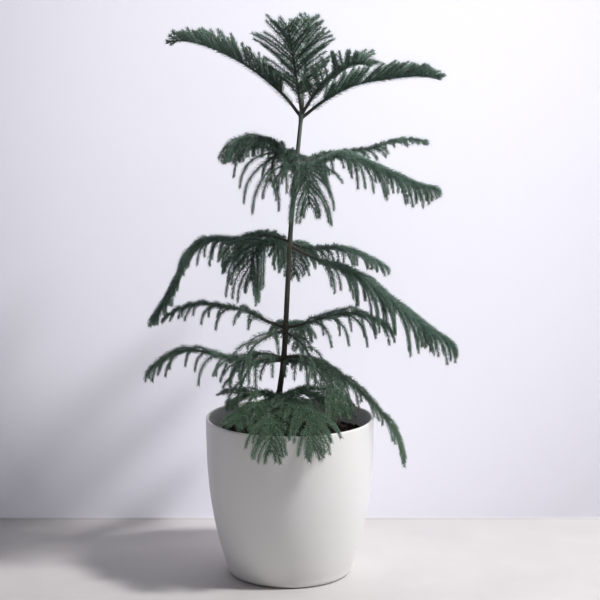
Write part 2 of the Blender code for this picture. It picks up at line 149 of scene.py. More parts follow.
SHORTEST = 0.25               # of the longest branchlet, at either end of the midrib
BRANCHLET_PEAK = 0.9          # below 1 it moves the longest branchlet towards the tip
BRANCHLET_ANGLES = (54, 34)   # degrees from the midrib, near the trunk and at the tip
BRANCHLET_POINTS = 9
HANG_CURVE = 1.1
STRAIGHT = 0.05               # a centreline that turns less than this has no plane of its own
UNEVEN = (6.0, 0.1, 0.08)     # random part of a branchlet's angle, length and hang
SEED = 41

# Room that a branchlet needs round it; one without room is bent or shortened by these steps
ROOM = 9.6
ROOT_REACH = 15.0
TRIALS = [(1.0, 1.0), (1.0, 0.8), (0.7, 1.0), (0.6, 0.75), (1.0, 0.6), (0.3, 0.7), (0.1, 0.5)]
NEEDLE_OUT = 3.8
NEEDLE_ROOM = 2.0             # beyond the needles, to the pot and the soil

# Branchlets that the part leaves to this script: their spacing along the midrib by tier, or for one
# frond that is denser or barer than its tier, then where they start and their room by tier
FILL_SPACING = {"crown": 4.6, "upper": 9, "middle": 9, "lower": 13, "base": 14, "foot": 5.5,
                "crown_front": 6, "crown_back": 7, "upper_right": 7.5, "middle_right": 7,
                "lower_left": 16, "lower_left_front": 24, "lower_right_front": 24,
                "base_left": 22, "base_left_front": 30, "base_left_back": 30,
                "foot_front": 8, "foot_front_right": 8}
FILL_FIRST = {"crown": 0.18, "upper": 0.1, "middle": 0.1, "lower": 0.1, "base": 0.07, "foot": 0.07}
FILL_LAST = 0.985
FILL_ROOM = {"crown": 6.5, "upper": 6.5, "middle": 6.5, "lower": 6.5, "base": 6.5, "foot": 4.5}
FILL_UNEVEN = (9.0, 0.22, 0.12)
FILL_MISSING = 0.12           # share of those branchlets that never grew or broke off

# Shoots: a round core from its foot to its tip, with needles in a spiral
RIB_RADII = (2.1, 0.7)
RIB_RINGS = 60
RIB_SIDES = 8
RIB_NEEDLES_PER_MM = 1.9
RIB_BARE = 0.1                # share of the midrib without needles
TWIG_RADII = (0.8, 0.5)
TWIG_RINGS = 14
TWIG_SIDES = 5
TWIG_NEEDLES_PER_MM = 2.1

# Needles: where not said otherwise, shares of a needle's own length or width
GOLDEN_ANGLE = math.radians(137.508)
NEEDLE_TURN = 0.25            # radians of random turn in the spiral
NEEDLE_LEAN = (48.0, 26.0)    # degrees from the shoot, at its foot and at its tip
NEEDLE_LEAN_UNEVEN = 5.0      # degrees
NEEDLE_CURL = 20.0            # degrees that a needle's two halves turn from its lean
NEEDLE_SHORTER = 0.35         # at a shoot's tip
NEEDLE_FOOT = (0.7, 3.0)      # length at a shoot's foot, and its growth along the shoot
NEEDLE_LENGTHS = (0.85, 1.12)
NEEDLE_SUNK = 0.7             # of the core's radius, where a needle starts
NEEDLE_FLAT = 0.8
NEEDLE_BEND = 0.45
NEEDLE_WAIST = 0.85

# Painted light on the wall: the wall glows by its own emission as if daylight reached it; its brightest
# place in metres, how many times a metre the glow fades across and up, and its least share
GLOW_CENTRE = (0.03, 0.0, 0.6)
GLOW_FALL = (1.76, 0.0, 1.36)
GLOW_LEAST = 0.2


def unit(vectors):
    return vectors / np.linalg.norm(vectors, axis=-1, keepdims=True)


def trunk_at(height):
    """Centre of the trunk at a height above the floor."""
    z, x = np.array(TRUNK_PATH, float).T
    return np.array([np.interp(height, z, x), 0.0, height])


def pot_radius(height):
    """Outer radius of the pot's side at a height above the floor."""
    return POT_RIM_RADIUS - POT_FLARE * (1 - height / POT_HEIGHT) ** POT_CURVE


def smooth(points, count):
    """Points evenly spaced along the Catmull-Rom curve through the given ones."""
    p = np.vstack([2 * points[0] - points[1], points, 2 * points[-1] - points[-2]])
    t = np.linspace(0, 1, CURVE_STEPS, endpoint=False)[:, None]
    rows = [0.5 * (2 * b + (c - a) * t + (2 * a - 5 * b + 4 * c - d) * t ** 2
                   + (3 * b - a - 3 * c + d) * t ** 3)
            for a, b, c, d in zip(p, p[1:], p[2:], p[3:])]
    fine = np.vstack(rows + [points[-1:]])
    along = np.r_[0, np.cumsum(np.linalg.norm(np.diff(fine, axis=0), axis=1))]
    at = np.linspace(0, along[-1], count)
    return np.stack([np.interp(at, along, fine[:, k]) for k in range(3)], axis=1)


def midrib(height, azimuth, profile):
    """Centreline of a frond's rib from the trunk's centre to the tip."""
    a = math.radians(azimuth)
    reach, rise = np.array([(0, 0)] + profile, float).T
    flat = np.stack([reach * math.sin(a), -reach * math.cos(a), rise], axis=1)
    return smooth(trunk_at(height) + flat, RIB_POINTS)


def branchlet(line, along, side, spread, hang, lift, turn):
    """Centreline of one branchlet: it leaves the rib sideways and forward, then bends to the ground."""
    place = along * (len(line) - 1)
    k = min(int(place), len(line) - 2)
    root = line[k] + (line[k + 1] - line[k]) * (place - k)
    forward = unit(line[k + 1] - line[k])
    lateral = unit(np.cross(forward, [0.0, 0.0, 1.0]))
    up = np.cross(lateral, forward)
    near, far = BRANCHLET_ANGLES
    angle = math.radians(near + (far - near) * along + turn)
    start = unit(math.cos(angle) * forward + side * math.sin(angle) * lateral + lift * up)
    longest = math.sin(math.pi * along ** BRANCHLET_PEAK)
    length = spread * (SHORTEST + (1 - SHORTEST) * longest)
    t = (np.arange(BRANCHLET_POINTS - 1) + 0.5)[:, None] / (BRANCHLET_POINTS - 1)
    weight = min(hang, 1.0) * t ** HANG_CURVE
    steps = unit((1 - weight) * start + weight * np.array([0.0, 0.0, -1.0]))
    return np.vstack([root, root + np.cumsum(steps * length / (BRANCHLET_POINTS - 1), axis=0)])


def has_room(points, others, room):
    """True where points keep clear of the other fronds, the trunk, the soil and the pot."""
    if len(others) and np.min(np.linalg.norm(points[:, None] - others[None], axis=2)) < room:
        return False
    z = points[:, 2]
    trunk = np.array([trunk_at(h) for h in z])
    away = np.linalg.norm(points - trunk, axis=1)
    if np.min(away[z < TRUNK_PATH[-1][0]], initial=math.inf) < room:
        return False
    radius = np.hypot(points[:, 0], points[:, 1])
    needle = NEEDLE_OUT + NEEDLE_ROOM
    within = radius < pot_radius(SOIL_LEVEL) - POT_WALL - needle
    inside = within & (z > SOIL_LEVEL + needle + SOIL_CRUMB)
    return bool(np.all(inside | (radius > POT_RIM_RADIUS + needle) | (z > POT_HEIGHT + needle)))


def fitting_branchlet(rib, along, side, frond, chance, others, room):
    """The first trial bend and length of a branchlet that has room, or None."""
    _, _, _, spread, _, hang, lift, _ = frond
    turn, longer, lower = chance
    for bend, reach in TRIALS:
        twig = branchlet(rib, along, side, spread * reach * (1 + longer),
                         (hang + lower * (hang > 0)) * bend, lift, turn)
        if has_room(twig[2:], others, room):
            return twig
    return None


def all_but(taken, number):
    """Points that every frond but one takes up."""
    return np.vstack([points for k, points in enumerate(taken) if k != number])


def lay_out():
    """Rib and branchlet centrelines of every frond: the part's own, then those that fill between."""
    random = np.random.default_rng(SEED)
    ribs = [midrib(height, azimuth, profile) for _, height, azimuth, *_, profile in FRONDS]
    taken = [rib[np.linalg.norm(rib - rib[0], axis=1) > ROOT_REACH] for rib in ribs]
    twigs = [[] for _ in FRONDS]
    reach = LAST_BRANCHLET - FIRST_BRANCHLET
    for number, frond in enumerate(FRONDS):
        pairs = frond[4]
        chance = random.uniform(-1, 1, (pairs, 2, 3)) * UNEVEN
        others = all_but(taken, number)
        for pair, side in ((p, s) for p in range(pairs) for s in (-1, 1)):
            along = FIRST_BRANCHLET + reach * (pair + (side > 0) / 2) / (pairs - 0.5)
            twig = fitting_branchlet(ribs[number], along, side, frond, chance[pair, (side + 1) // 2],
                                     others, ROOM)
            if twig is not None:
                twigs[number].append(twig)
        taken[number] = np.vstack([taken[number]] + twigs[number])
    for number, frond in enumerate(FRONDS):
        pairs = frond[4]
        length = np.sum(np.linalg.norm(np.diff(ribs[number], axis=0), axis=1))
        gap = reach * length / (pairs - 0.5)
        tier = frond[0].split("_")[0]
        fill = 2 * max(1, round(gap / FILL_SPACING.get(frond[0], FILL_SPACING[tier]) / 2))
        chance = random.uniform(-1, 1, (pairs * fill, 2, 3)) * FILL_UNEVEN
        missing = random.uniform(0, 1, (pairs * fill, 2)) < FILL_MISSING
        others = all_but(taken, number)
        for step, side in ((p, s) for p in range(1 - fill, pairs * fill) for s in (-1, 1)):
            along = FIRST_BRANCHLET + reach * (step / fill + (side > 0) / 2) / (pairs - 0.5)
            own = (side + 1) // 2
            if step % fill == 0 or missing[step, own] or not FILL_FIRST[tier] < along < FILL_LAST:
                continue
            twig = fitting_branchlet(ribs[number], along, side, frond, chance[step, own],
                                     others, FILL_ROOM[tier])
            if twig is not None:
                twigs[number].append(twig)
        taken[number] = np.vstack([taken[number]] + twigs[number])
    return [(frond[0], rib, sprays) for frond, rib, sprays in zip(FRONDS, ribs, twigs)]


def plane_normal(line):
    """Unit normal of the plane that a centreline bends in; level for a straight one."""
    start, end = unit(line[1] - line[0]), unit(line[-1] - line[-2])
    normal = np.cross(start, end)
    if np.linalg.norm(normal) < STRAIGHT:
        normal = np.cross(start, [0.0, 0.0, 1.0])
    return unit(normal)


def frames(line):
    """Unit forward, side and up vectors along a centreline that bends in one plane."""
    forward = unit(np.gradient(line, axis=0))
    side = np.broadcast_to(plane_normal(line), line.shape)
    side = unit(side - np.sum(side * forward, axis=1, keepdims=True) * forward)
    return forward, side, np.cross(forward, side)


def grid_faces(rows, columns, first=0):
    """Quads of a grid whose columns close into a ring, as rows of vertex numbers."""
    row, column = np.meshgrid(np.arange(rows - 1), np.arange(columns), indexing="ij")
    a = first + row * columns + column
    b = first + row * columns + (column + 1) % columns
    return np.stack([a, b, b + columns, a + columns], axis=-1).reshape(-1, 4)


def fan_faces(ring, pole, columns, flip):
    """Triangles that close a ring of vertices to a pole."""
    a = ring + np.arange(columns)
    b = ring + (np.arange(columns) + 1) % columns
    poles = np.full(columns, pole)
    return np.stack([b, a, poles] if flip else [a, b, poles], axis=-1)


def tube(line, radii, sides):
    """Closed tube: ring k is centre + r_k * (cos(a) * side + sin(a) * up), with a pole at each end."""
    forward, side, up = frames(line)
    angle = np.linspace(0, 2 * math.pi, sides, endpoint=False)[None, :, None]
    around = np.cos(angle) * side[:, None] + np.sin(angle) * up[:, None]
    rings = line[:, None] + radii[:, None, None] * around
    poles = np.array([line[0], line[-1] + radii[-1] * forward[-1]])
    points = np.vstack([rings.reshape(-1, 3), poles])
    last = sides * (len(line) - 1)
    ends = [fan_faces(0, last + sides, sides, True), fan_faces(last, last + sides + 1, sides, False)]
    return points, grid_faces(len(line), sides), np.vstack(ends)


def needles(line, radii, per_mm, size, random, start=0.0):
    """Awl-shaped needles in a golden-angle spiral round a shoot.

    Needle k leaves the core at s = k / per_mm, at angle 137.5 k, and leans forward by a lean that closes
    towards the shoot's tip. Its triangle section narrows to a point, and its outer half curls inwards.
    size is the length and width of a full-grown needle.
    """
    steps = np.r_[0, np.cumsum(np.linalg.norm(np.diff(line, axis=0), axis=1))]
    count = max(4, int((steps[-1] - start) * per_mm))
    s = start + (steps[-1] - start) * (np.arange(count) + 0.5) / count
    share = s / steps[-1]
    forward, side, up = (np.stack([np.interp(s, steps, v[:, k]) for k in range(3)], axis=1)
                         for v in frames(line))
    centre = np.stack([np.interp(s, steps, line[:, k]) for k in range(3)], axis=1)
    around = (GOLDEN_ANGLE * np.arange(count) + random.normal(0, NEEDLE_TURN, count))[:, None]
    radial = unit(np.cos(around) * side + np.sin(around) * up)
    lean = NEEDLE_LEAN[0] + (NEEDLE_LEAN[1] - NEEDLE_LEAN[0]) * share ** 2
    lean = lean + random.normal(0, NEEDLE_LEAN_UNEVEN, count)
    below, above = np.radians(lean + NEEDLE_CURL)[:, None], np.radians(lean - NEEDLE_CURL)[:, None]
    leaving = np.cos(below) * forward + np.sin(below) * radial
    closing = np.cos(above) * forward + np.sin(above) * radial
    across = unit(np.cross(forward, radial))
    outward = np.cross(across, leaving)
    young = np.minimum(1, NEEDLE_FOOT[0] + NEEDLE_FOOT[1] * share)
    length = size[0] * (1 - NEEDLE_SHORTER * share ** 3) * young
    length = (length * random.uniform(*NEEDLE_LENGTHS, count))[:, None]
    root = centre + np.interp(share, [0, 1], radii)[:, None] * NEEDLE_SUNK * radial
    corner = np.radians([90, 330, 210])
    section = size[1] / 2 * (np.cos(corner)[None, :, None] * across[:, None]
                             + NEEDLE_FLAT * np.sin(corner)[None, :, None] * outward[:, None])
    middle = root + NEEDLE_BEND * length * leaving
    tip = middle + (1 - NEEDLE_BEND) * length * closing
    points = np.concatenate([root[:, None] + section, middle[:, None] + NEEDLE_WAIST * section,
                             tip[:, None]], axis=1)
    base = 7 * np.arange(count)[:, None, None]
    quads = base + np.array([[0, 1, 4, 3], [1, 2, 5, 4], [2, 0, 3, 5]])[None]
    ends = base + np.array([[3, 4, 6], [4, 5, 6], [5, 3, 6], [0, 2, 1]])[None]
    chance = np.repeat(random.uniform(0, 1, count), 7)
    rise = np.tile([0, 0, 0, 0.5, 0.5, 0.5, 1.0], count)
    return (points.reshape(-1, 3), quads.reshape(-1, 4), ends.reshape(-1, 3),
            np.stack([np.repeat(share, 7), chance, rise, np.zeros(7 * count)], axis=1))


class Shell:
    """Collects points, faces and a growth value for each point, and makes one mesh piece of them."""

    def __init__(self):
        self.points, self.quads, self.triangles, self.growth = [], [], [], []
        self.count = 0

    def add(self, points, quads, triangles, growth=None):
        self.points.append(points)
        self.quads.append(quads + self.count)
        self.triangles.append(triangles + self.count)
        self.growth.append(np.tile([0.0, 0.0, 0.0, 1.0], (len(points), 1)) if growth is None else growth)
        self.count += len(points)

    def piece(self, name, material, slot, replaced):
        quads, triangles = np.vstack(self.quads), np.vstack(self.triangles)
        points = np.vstack(self.points) * MM
        growth = np.vstack(self.growth)
        mesh = bpy.data.meshes.new(name)
        mesh.vertices.add(len(points))
        mesh.vertices.foreach_set("co", points.ravel())
        loops = np.concatenate([quads.ravel(), triangles.ravel()])
        sizes = np.concatenate([np.full(len(quads), 4), np.full(len(triangles), 3)])
        mesh.loops.add(len(loops))
        mesh.loops.foreach_set("vertex_index", loops)
        mesh.polygons.add(len(sizes))
        mesh.polygons.foreach_set("loop_start", np.concatenate([[0], np.cumsum(sizes)[:-1]]))
        mesh.update(calc_edges=True)
        mesh.polygons.foreach_set("use_smooth", np.ones(len(sizes), bool))
        colour = mesh.attributes.new("growth", "FLOAT_COLOR", "POINT")
        colour.data.foreach_set("color", growth.ravel())
        mesh.materials.append(material)
        mesh.validate()
        piece = bpy.data.objects.new(name, mesh)
        bpy.context.scene.collection.objects.link(piece)
        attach(piece, "root")
        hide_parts(replaced)


def linear(hex_colour):
    """Opaque linear colour from an sRGB hex value such as "2f4a3a"."""
    parts = [int(hex_colour[k:k + 2], 16) / 255 for k in (0, 2, 4)]
    return tuple(c / 12.92 if c <= 0.04045 else ((c + 0.055) / 1.055) ** 2.4 for c in parts) + (1.0,)


def add_node(tree, kind, links=None, values=None, **settings):
    """Adds a node, applies its settings, sets input values and links inputs to other nodes' outputs."""
    made = tree.nodes.new(kind)
    for key, value in settings.items():
        setattr(made, key, value)
    for key, value in (values or {}).items():
        made.inputs[key].default_value = value
    for key, socket in (links or {}).items():
        tree.links.new(socket, made.inputs[key])
    return made


def colour_ramp(tree, factor, *stops):
    """A ramp between (position, hex colour) stops."""
    ramp = add_node(tree, "ShaderNodeValToRGB", {"Fac": factor})
    elements = ramp.color_ramp.elements
    while len(elements) < len(stops):
        elements.new(0.5)
    for element, (position, hex_colour) in zip(elements, stops):
        element.position = position
        element.color = linear(hex_colour)
    return ramp.outputs["Color"]


def new_material(name):
    """A cleared node material, its tree, its Object coordinates and its Principled shader."""
    material = bpy.data.materials.new(name)
    material.use_nodes = True
    tree = material.node_tree
    tree.nodes.clear()
    place = add_node(tree, "ShaderNodeTexCoord").outputs["Object"]
    shader = add_node(tree, "ShaderNodeBsdfPrincipled")
    add_node(tree, "ShaderNodeOutputMaterial", {"Surface": shader.outputs["BSDF"]})
    return material, tree, place, shader


def per_mm(size):
    """Texture scale that puts one feature in each size of millimetres."""
    return 1 / (size * MM)


def waxy_needle(settings):
    """Juvenile pine needle: smooth cuticle with a thin bluish wax bloom, so edges catch pale light.

    Needles at a shoot's end and in the sheltered lowest tiers have less bloom and look greener.
    The core of a shoot is woody near the trunk and green further out. The pale bands of wax pores are
    drawn coarser than real ones, so that they show.
    """
    material, tree, place, shader = new_material("waxy_needle")
    growth = add_node(tree, "ShaderNodeAttribute", attribute_name="growth")
    split = add_node(tree, "ShaderNodeSeparateColor", {"Color": growth.outputs["Color"]})
    along, chance, rise = (split.outputs[k] for k in ("Red", "Green", "Blue"))
    patches = add_node(tree, "ShaderNodeTexNoise", {"Vector": place},
                       {"Scale": per_mm(45), "Detail": 3.0})
    mix = add_node(tree, "ShaderNodeMath", {0: chance, 1: patches.outputs["Fac"]}, operation="ADD")
    half = add_node(tree, "ShaderNodeMath", {0: mix.outputs[0]}, {1: 0.5}, operation="MULTIPLY")
    body = colour_ramp(tree, half.outputs[0], (0.2, settings.deep_green), (0.5, settings.green),
                       (0.85, settings.pale_green))
    pores = add_node(tree, "ShaderNodeTexNoise", {"Vector": place},
                     {"Scale": per_mm(0.5), "Detail": 2.0})
    bands = add_node(tree, "ShaderNodeMapRange", {"Value": pores.outputs["Fac"]},
                     {"From Min": 0.52, "From Max": 0.75, "To Max": 0.35})
    body = add_node(tree, "ShaderNodeMix", {0: bands.outputs[0], 6: body},
                    {7: linear(settings.bloom)}, data_type="RGBA").outputs[2]
    young = add_node(tree, "ShaderNodeMath", {0: along}, {1: 6.0}, operation="POWER")
    soft = add_node(tree, "ShaderNodeMath", {0: young.outputs[0]}, {1: 0.45}, operation="MULTIPLY")
    parts = add_node(tree, "ShaderNodeSeparateXYZ", {"Vector": place})
    sheltered = add_node(tree, "ShaderNodeMapRange", {"Value": parts.outputs["Z"]},
                         {"From Min": TIERS[0] * MM, "From Max": TIERS[2] * MM, "To Min": 0.4, "To Max": 0.0})
    least = add_node(tree, "ShaderNodeMath", {0: soft.outputs[0], 1: sheltered.outputs[0]},
                     operation="MAXIMUM")
    fresh = add_node(tree, "ShaderNodeMix", {0: least.outputs[0], 6: body},
                     {7: linear(settings.young_green)}, data_type="RGBA")
    point = add_node(tree, "ShaderNodeMath", {0: rise}, {1: 0.35}, operation="MULTIPLY")
    tinted = add_node(tree, "ShaderNodeMix", {0: point.outputs[0], 6: fresh.outputs[2]},
                      {7: linear(settings.pale_green)}, data_type="RGBA")
    reach = add_node(tree, "ShaderNodeVectorMath", {0: place}, {1: (1.0, 1.0, 0.0)},
                     operation="MULTIPLY")
    away = add_node(tree, "ShaderNodeVectorMath", {0: reach.outputs[0]}, operation="LENGTH")
    woody = add_node(tree, "ShaderNodeMapRange", {"Value": away.outputs["Value"]},
                     {"From Min": 0.02, "From Max": 0.09, "To Min": 1.0, "To Max": 0.0})
    wood = add_node(tree, "ShaderNodeMath", {0: growth.outputs["Alpha"], 1: woody.outputs[0]},
                    operation="MULTIPLY")
    shoot = add_node(tree, "ShaderNodeMix", {0: wood.outputs[0], 6: tinted.outputs[2]},
                     {7: linear(settings.bark)}, data_type="RGBA")
    tree.links.new(shoot.outputs[2], shader.inputs["Base Color"])
    shader.inputs["Roughness"].default_value = 0.5
    shader.inputs["Specular IOR Level"].default_value = 0.45
    shader.inputs["Sheen Weight"].default_value = 0.25
    shader.inputs["Sheen Tint"].default_value = linear(settings.sheen)
    return material


def young_bark(settings):
    """Bark of a sapling: thin, grey-brown, with fine rings of leaf scars and a green cast near the top."""
    material, tree, place, shader = new_material("young_bark")
    stretch = add_node(tree, "ShaderNodeMapping", {"Vector": place}, {"Scale": (1.0, 1.0, 2.2)})
    grain = add_node(tree, "ShaderNodeTexNoise", {"Vector": stretch.outputs["Vector"]},
                     {"Scale": per_mm(2.4), "Detail": 6.0, "Roughness": 0.65})
    bark = colour_ramp(tree, grain.outputs["Fac"], (0.3, settings.bark_dark), (0.55, settings.bark),
                       (0.75, settings.bark_pale))
    parts = add_node(tree, "ShaderNodeSeparateXYZ", {"Vector": place})
    high = add_node(tree, "ShaderNodeMapRange", {"Value": parts.outputs["Z"]},
                    {"From Min": TIERS[2] * MM, "From Max": TIERS[-1] * MM, "To Max": 0.75})
    green = add_node(tree, "ShaderNodeMix", {0: high.outputs[0], 6: bark},
                     {7: linear(settings.bark_green)}, data_type="RGBA")
    tree.links.new(green.outputs[2], shader.inputs["Base Color"])
    bump = add_node(tree, "ShaderNodeBump", {"Height": grain.outputs["Fac"]},
                    {"Strength": 0.8, "Distance": 0.4 * MM})
    tree.links.new(bump.outputs["Normal"], shader.inputs["Normal"])
    shader.inputs["Roughness"].default_value = 0.82
    return material


def potting_mix(settings):
    """Damp peat and bark mix: matt, near black in the hollows, browner and drier on the crumbs."""
    material, tree, place, shader = new_material("potting_mix")
    crumbs = add_node(tree, "ShaderNodeTexNoise", {"Vector": place},
                      {"Scale": per_mm(4.0), "Detail": 8.0, "Roughness": 0.7})
    earth = colour_ramp(tree, crumbs.outputs["Fac"], (0.3, settings.soil_dark), (0.55, settings.soil),
                        (0.8, settings.soil_dry))
    tree.links.new(earth, shader.inputs["Base Color"])
    bump = add_node(tree, "ShaderNodeBump", {"Height": crumbs.outputs["Fac"]},
                    {"Strength": 1.0, "Distance": 1.2 * MM})
    tree.links.new(bump.outputs["Normal"], shader.inputs["Normal"])
    shader.inputs["Roughness"].default_value = 0.95
    return material


def moulded_polypropylene(settings):
    """Injection-moulded pot plastic: white, satin, with a faint orange-peel skin and dust near the foot."""
    material, tree, place, shader = new_material("moulded_polypropylene")
    height = add_node(tree, "ShaderNodeSeparateXYZ", {"Vector": place})
    low = add_node(tree, "ShaderNodeMapRange", {"Value": height.outputs["Z"]},
                   {"From Min": 0.0, "From Max": 0.03, "To Min": 0.35, "To Max": 0.0})
    dust = add_node(tree, "ShaderNodeTexNoise", {"Vector": place}, {"Scale": per_mm(25), "Detail": 5.0})
    film = add_node(tree, "ShaderNodeMath", {0: low.outputs[0], 1: dust.outputs["Fac"]},
                    operation="MULTIPLY")
    white = add_node(tree, "ShaderNodeMix", {0: film.outputs[0]},
                     {6: linear(settings.white), 7: linear(settings.dust)}, data_type="RGBA")
    tree.links.new(white.outputs[2], shader.inputs["Base Color"])
    rough = add_node(tree, "ShaderNodeMapRange", {"Value": dust.outputs["Fac"]},
                     {"To Min": 0.3, "To Max": 0.38})
    tree.links.new(rough.outputs[0], shader.inputs["Roughness"])
    peel = add_node(tree, "ShaderNodeTexNoise", {"Vector": place}, {"Scale": per_mm(1.6), "Detail": 2.0})
    bump = add_node(tree, "ShaderNodeBump", {"Height": peel.outputs["Fac"]},
                    {"Strength": 0.12, "Distance": 0.05 * MM})
    tree.links.new(bump.outputs["Normal"], shader.inputs["Normal"])
    shader.inputs["IOR"].default_value = 1.49
    return material


def painted_plaster(settings):
    """Painted wall above a pale stone floor: matt, with the floor a little warmer and faintly clouded.

    Painted light: the wall glows by its own emission in place of daylight that reaches the wall alone, and
    the glow fades as the square of the distance from its brightest place.
    Seen from behind the wall is clear, so that it never hides the plant.
    """
    material, tree, place, shader = new_material("painted_plaster")
    parts = add_node(tree, "ShaderNodeSeparateXYZ", {"Vector": place})
    clouds = add_node(tree, "ShaderNodeTexNoise", {"Vector": place}, {"Scale": per_mm(90), "Detail": 5.0})
    stone = add_node(tree, "ShaderNodeMix", {0: clouds.outputs["Fac"]},
                     {6: linear(settings.floor), 7: linear(settings.floor_dark)}, data_type="RGBA")
    above = add_node(tree, "ShaderNodeMapRange", {"Value": parts.outputs["Z"]},
                     {"From Min": 0.001, "From Max": 0.003})
    side = add_node(tree, "ShaderNodeMix", {0: above.outputs[0], 6: stone.outputs[2]},
                    {7: linear(settings.wall)}, data_type="RGBA")
    tree.links.new(side.outputs[2], shader.inputs["Base Color"])
    # Painted light: an emission glow on the wall, brightest at GLOW_CENTRE, in place of daylight
    away = add_node(tree, "ShaderNodeVectorMath", {0: place}, {1: GLOW_CENTRE}, operation="SUBTRACT")
    scaled = add_node(tree, "ShaderNodeVectorMath", {0: away.outputs[0]}, {1: GLOW_FALL},
                      operation="MULTIPLY")
    square = add_node(tree, "ShaderNodeVectorMath", {0: scaled.outputs[0], 1: scaled.outputs[0]},
                      operation="DOT_PRODUCT")
    fade = add_node(tree, "ShaderNodeMapRange", {"Value": square.outputs["Value"]},
                    {"To Min": settings.painted_wall_glow, "To Max": GLOW_LEAST * settings.painted_wall_glow})
    painted_glow = add_node(tree, "ShaderNodeMath", {0: above.outputs[0], 1: fade.outputs[0]}, operation="MULTIPLY")
    tree.links.new(side.outputs[2], shader.inputs["Emission Color"])
    tree.links.new(painted_glow.outputs[0], shader.inputs["Emission Strength"])
    shader.inputs["Roughness"].default_value = 0.6
    behind = add_node(tree, "ShaderNodeNewGeometry")
    clear = add_node(tree, "ShaderNodeBsdfTransparent")
    one_sided = add_node(tree, "ShaderNodeMixShader",
                         {0: behind.outputs["Backfacing"], 1: shader.outputs["BSDF"],
                          2: clear.outputs["BSDF"]})
    tree.links.new(one_sided.outputs["Shader"], tree.get_output_node("ALL").inputs["Surface"])
    return material


def hex_property(name, description, default):
    return bpy.props.StringProperty(name=name, description=description, default=default)


class PotSettings(bpy.types.PropertyGroup):
    """Finish of the pot and its soil."""
    white: hex_property("White", "sRGB hex colour of the plastic", "ececea")
    dust: hex_property("Dust", "sRGB hex colour of the dust near the foot", "b9b2a6")
    steps: bpy.props.IntProperty(name="Steps", description="Sides of the pot and of the soil",
                               default=144, min=24)
    soil_dark: hex_property("Wet soil", "sRGB hex colour of the soil's hollows", "17120e")
    soil: hex_property("Soil", "sRGB hex colour of the soil", "33271d")
    soil_dry: hex_property("Dry soil", "sRGB hex colour of the drier crumbs", "5a4634")
    crumbs: bpy.props.IntProperty(name="Crumbs", description="Loose crumbs on the soil", default=900, min=0)


class PlantSettings(bpy.types.PropertyGroup):
    """Needles' size, and the colours of needles and bark."""
    needle_length: bpy.props.FloatProperty(name="Needle length", description="Length of a grown needle",
                                           default=6.8 * MM, min=0.0, unit="LENGTH")
    needle_width: bpy.props.FloatProperty(name="Needle width", description="Width at a needle's foot",
                                          default=1.0 * MM, min=0.0, unit="LENGTH")
    deep_green: hex_property("Deep green", "sRGB hex colour of shaded needles", "31493e")
    green: hex_property("Green", "sRGB hex colour of most needles", "4e6c5c")
    pale_green: hex_property("Pale green", "sRGB hex colour of waxy needles", "769583")
    bloom: hex_property("Wax bloom", "sRGB hex colour of the pale wax bands on a needle", "93aa9e")
    sheen: hex_property("Sheen", "sRGB hex colour of the light that grazes a needle's wax", "b9cfc4")
    young_green: hex_property("Young green", "sRGB hex colour of the newest needles", "6f8c62")
    bark_dark: hex_property("Dark bark", "sRGB hex colour of the bark's cracks", "35332b")
    bark: hex_property("Bark", "sRGB hex colour of the bark", "4b483f")
    bark_green: hex_property("Green bark", "sRGB hex colour of the young bark at the top", "869187")
    bark_pale: hex_property("Pale bark", "sRGB hex colour of the bark's ridges", "79756a")


class StageSettings(bpy.types.PropertyGroup):
    """Floor, wall, camera and lights."""
    floor: hex_property("Floor", "sRGB hex colour of the floor", "d6d2d0")
    floor_dark: hex_property("Clouded floor", "sRGB hex colour of the floor's clouds", "c6c2c1")
    wall: hex_property("Wall", "sRGB hex colour of the wall", "e6e5ee")
    lens: bpy.props.FloatProperty(name="Lens", description="Focal length", default=103.2, unit="CAMERA")
    camera_distance: bpy.props.FloatProperty(name="Distance", description="From camera to the pot's axis",
                                             default=2.0, unit="LENGTH")
    camera_height: bpy.props.FloatProperty(name="Height", description="Camera above the floor",
                                           default=0.673, unit="LENGTH")
    camera_aside: bpy.props.FloatProperty(name="Aside", description="Camera right of the pot's axis",
                                          default=0.0122, unit="LENGTH")
    camera_pitch: bpy.props.FloatProperty(name="Pitch", description="Downward tilt of the camera",
                                          default=math.radians(9.71), subtype="ANGLE")
    window: bpy.props.FloatProperty(name="Window", description="Power of the window light", default=80.0,
                                    unit="POWER")
    window_size: bpy.props.FloatProperty(name="Window size", description="Side of the window light",
                                         default=0.3, unit="LENGTH")
    window_distance: bpy.props.FloatProperty(name="Window distance", description="From the pot to the light",
                                             default=2.8, unit="LENGTH")
    window_turn: bpy.props.FloatProperty(name="Window turn", description="Turn of the light from the front",
                                         default=math.radians(70), subtype="ANGLE")
    window_rise: bpy.props.FloatProperty(name="Window rise", description="Height angle of the light",
                                         default=math.radians(50), subtype="ANGLE")
    room: bpy.props.FloatProperty(name="Room", description="Strength of the room's own light", default=0.14)
    # Painted light: strength of the wall's own emission glow, in place of daylight on the wall
    painted_wall_glow: bpy.props.FloatProperty(name="Wall light", description="Light that reaches the wall alone",
                                        default=0.58)
    room_colour: hex_property("Room colour", "sRGB hex colour of the room's own light", "e6e8f4")


def arc(centre, radius, start, end, count):
    """Profile points (radius, height) along an arc, angles in degrees."""
    angle = np.radians(np.linspace(start, end, count))
    return np.stack([centre[0] + radius * np.cos(angle), centre[1] + radius * np.sin(angle)], axis=1)


